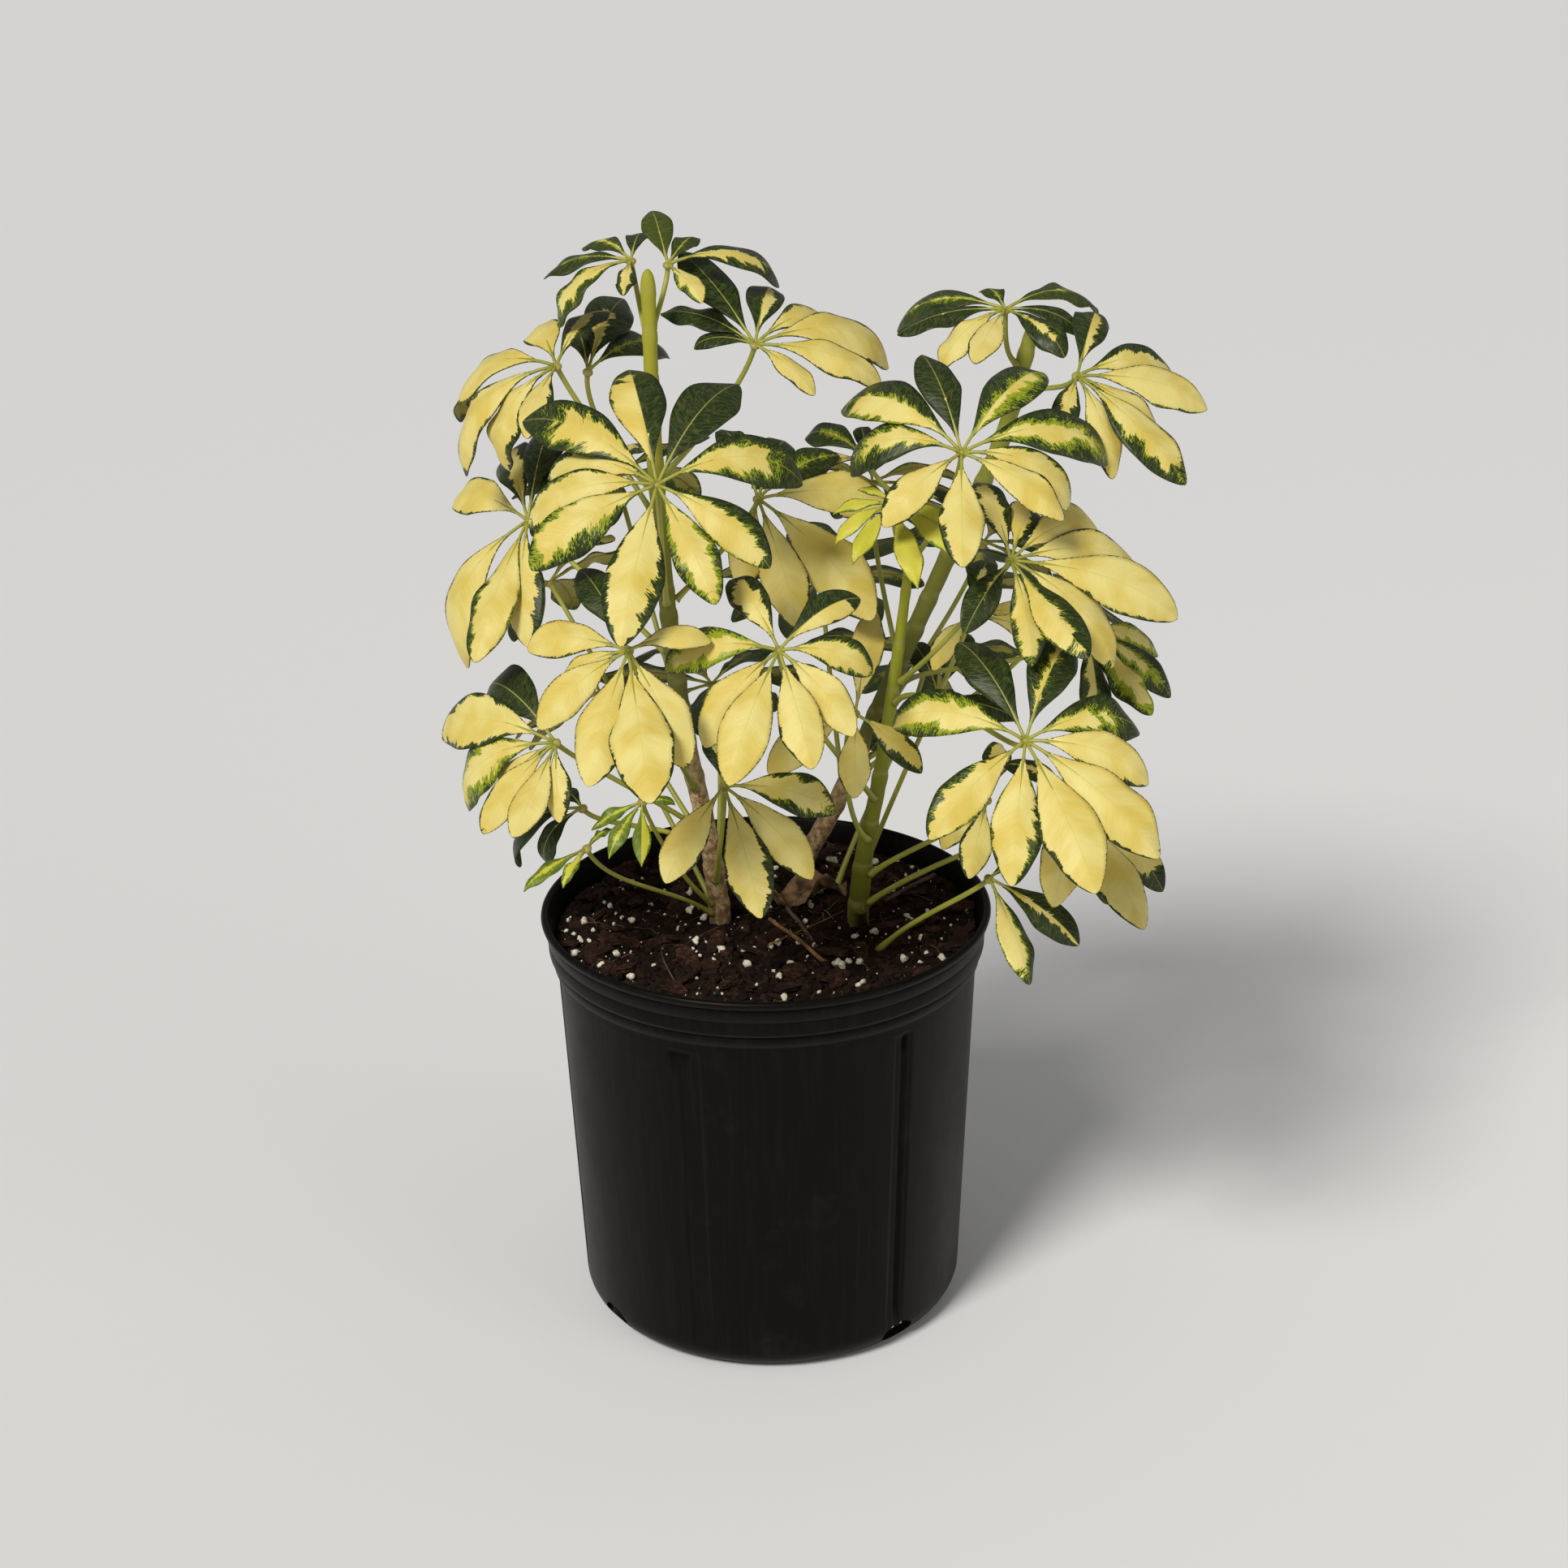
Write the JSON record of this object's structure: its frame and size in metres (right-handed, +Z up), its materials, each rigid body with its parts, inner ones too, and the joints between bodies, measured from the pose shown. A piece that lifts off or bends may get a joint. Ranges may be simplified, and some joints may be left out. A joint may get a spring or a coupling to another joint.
{
  "type": "potted trinette dwarf umbrella tree",
  "caption": "Upright foliage plant in a round tapered nursery pot, with woody stems and umbrella-like compound leaves marbled cream yellow and dark green.",
  "frame": {"origin": "centre of the pot's flat base, on the surface it stands on", "axes": "+Z up, out of the pot; +Y away from the viewer of the picture; +X to the viewer's right"},
  "size_m": [0.4204, 0.4206, 0.6267],
  "materials": {
    "pot": "black blow-moulded plastic with a dull satin sheen",
    "soil": "damp bark-and-peat potting mix, matte",
    "stem": "woody brown at the foot, smooth green above",
    "leaf": "satin leaf surface marbled cream yellow and dark green",
    "litter": "dry brown, matte"
  },
  "bodies": {
    "root": {"pot": "pot", "soil": "soil", "left_stem": "stem", "right_stem": "stem", "rear_stem": "stem", "left_leaf_01": "leaf", "left_leaf_02": "leaf", "left_leaf_03": "leaf", "left_leaf_04": "leaf", "left_leaf_05": "leaf", "left_leaf_06": "leaf", "left_leaf_07": "leaf", "left_leaf_08": "leaf", "left_leaf_09": "leaf", "left_leaf_10": "leaf", "left_leaf_11": "leaf", "left_leaf_12": "leaf", "left_leaf_13": "leaf", "left_leaf_14": "leaf", "left_leaf_15": "leaf", "left_leaf_16": "leaf", "left_leaf_17": "leaf", "right_leaf_01": "leaf", "right_leaf_02": "leaf", "right_leaf_03": "leaf", "right_leaf_04": "leaf", "right_leaf_05": "leaf", "right_leaf_06": "leaf", "right_leaf_07": "leaf", "right_leaf_08": "leaf", "right_leaf_09": "leaf", "right_leaf_10": "leaf", "rear_leaf_01": "leaf", "rear_leaf_02": "leaf", "rear_leaf_03": "leaf", "rear_leaf_04": "leaf", "rear_leaf_05": "leaf", "rear_leaf_06": "leaf", "rear_leaf_07": "leaf", "rear_leaf_08": "leaf", "rear_leaf_09": "leaf", "rear_leaf_10": "leaf", "rear_leaf_11": "leaf", "dry_stalk_front": "litter", "dry_stalk_middle": "litter", "dry_stalk_right": "litter", "shrivelled_leaf": "litter"}
  },
  "joints": []
}
